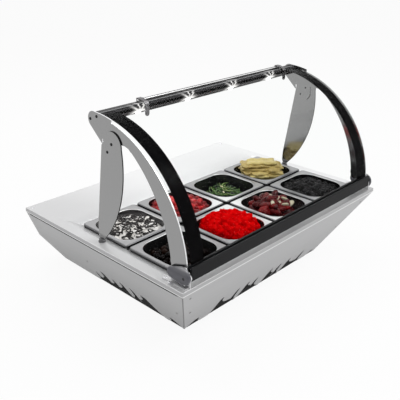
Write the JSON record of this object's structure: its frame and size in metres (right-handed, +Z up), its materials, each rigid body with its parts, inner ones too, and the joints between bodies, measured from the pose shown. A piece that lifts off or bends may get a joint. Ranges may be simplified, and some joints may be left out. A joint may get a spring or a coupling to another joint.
{
  "type": "refrigerated topping display",
  "caption": "Countertop refrigerated topping display: hull-shaped steel body with two rows of food pans under a curved glass canopy that tilts forward.",
  "frame": {"origin": "on the table under the middle of the overall width and depth", "axes": "+X to the right along the deck's long side, seen from the customer's side; +Y from the customer's side to the serving side; +Z up"},
  "size_m": [0.77, 0.671, 0.5317],
  "materials": {
    "stainless_sheet": "satin stainless sheet, near white in soft light",
    "black_frame": "black painted sheet",
    "rubber": "dull black rubber",
    "foam": "cream rigid foam",
    "copper_tube": "dull copper tube",
    "pan_steel": "satin stainless pan",
    "black_plastic": "fine-grained black plastic",
    "compressor_paint": "black gloss paint",
    "aluminium_fins": "thin bare fins",
    "fan_blades": "grey moulded plastic",
    "switch_red": "glossy dark red plastic",
    "zinc_box": "zinc-plated control box",
    "hinge_cover_grey": "dark blue-grey moulded plastic",
    "bright_steel": "bright plated steel",
    "clear_glass": "clear curved glass",
    "glass_border": "glossy black printed border",
    "plate_grey": "smooth mid-grey coating",
    "black_screws": "black screw heads",
    "light_bar_grey": "dark grey anodised extrusion",
    "lamp_white": "small white lamp lenses",
    "food_white": "moist food, uneven sheen",
    "food_rose": "moist food, uneven sheen",
    "food_green": "moist food, uneven sheen",
    "food_yellow": "moist food, uneven sheen",
    "food_brown": "moist food, uneven sheen",
    "food_red": "moist food, uneven sheen",
    "food_maroon": "moist food, uneven sheen",
    "food_black": "moist food, uneven sheen"
  },
  "bodies": {
    "body": {"deck_top": "stainless_sheet", "subframe": "black_frame", "front_skirt": "stainless_sheet", "left_skirt": "stainless_sheet", "right_skirt": "stainless_sheet", "rear_cover": "stainless_sheet", "base_tray": "black_frame", "rubber_feet": "rubber", "cold_well": "stainless_sheet", "insulation": "foam", "evaporator_coil": "copper_tube", "pan_rear_1": "pan_steel", "pan_rear_2": "pan_steel", "pan_rear_3": "pan_steel", "pan_rear_4": "pan_steel", "pan_front_1": "pan_steel", "pan_front_2": "pan_steel", "pan_front_3": "pan_steel", "pan_front_4": "pan_steel", "centre_bar": "black_plastic", "cross_bars": "black_plastic", "topping_rear_1": "food_white", "topping_rear_2": "food_rose", "topping_rear_3": "food_green", "topping_rear_4": "food_yellow", "topping_front_1": "food_brown", "topping_front_2": "food_red", "topping_front_3": "food_maroon", "topping_front_4": "food_black", "compressor": "compressor_paint", "condenser_coil": "aluminium_fins", "fan_shroud": "black_plastic", "fan_motor": "compressor_paint", "refrigerant_lines": "copper_tube", "switch_housing": "black_plastic", "thermostat": "zinc_box", "power_inlet": "black_plastic", "hinge_bracket_left": "stainless_sheet", "hinge_bracket_right": "stainless_sheet", "hinge_cover_left": "hinge_cover_grey", "hinge_cover_right": "hinge_cover_grey", "hinge_pins": "bright_steel", "hinge_screws": "bright_steel", "blade_rests": "rubber", "skirt_screws": "bright_steel"},
    "canopy": {"curved_glass": "clear_glass", "border_bands": "glass_border", "end_plate_left": "plate_grey", "end_plate_right": "plate_grey", "support_blade_left": "plate_grey", "support_blade_right": "plate_grey", "canopy_screws": "black_screws", "light_bar": "light_bar_grey", "lamps": "lamp_white", "top_rod": "bright_steel", "rod_clips": "bright_steel", "bottom_rail": "black_plastic"},
    "rocker": {"rocker_switch": "switch_red"},
    "knob": {"thermostat_knob": "black_plastic"},
    "fan": {"fan_rotor": "fan_blades"}
  },
  "joints": [
    {"name": "canopy_hinge", "type": "hinge", "parent": "body", "child": "canopy", "pos_m": [0, -0.3205, 0.232], "axis": [1, 0, 0], "range_deg": [0, 60]},
    {"name": "rocker_hinge", "type": "hinge", "parent": "body", "child": "rocker", "pos_m": [0.218, 0.29404, 0.14369], "axis": [1, 0, 0], "range_deg": [0, 18]},
    {"name": "knob_turn", "type": "hinge", "parent": "body", "child": "knob", "pos_m": [0.262, 0.30263, 0.14881], "axis": [0, 0.8591, 0.5118], "range_deg": [0, 300]},
    {"name": "fan_spin", "type": "hinge", "parent": "body", "child": "fan", "pos_m": [-0.128, 0.1865, 0.0685], "axis": [1, 0, 0], "continuous": true}
  ]
}
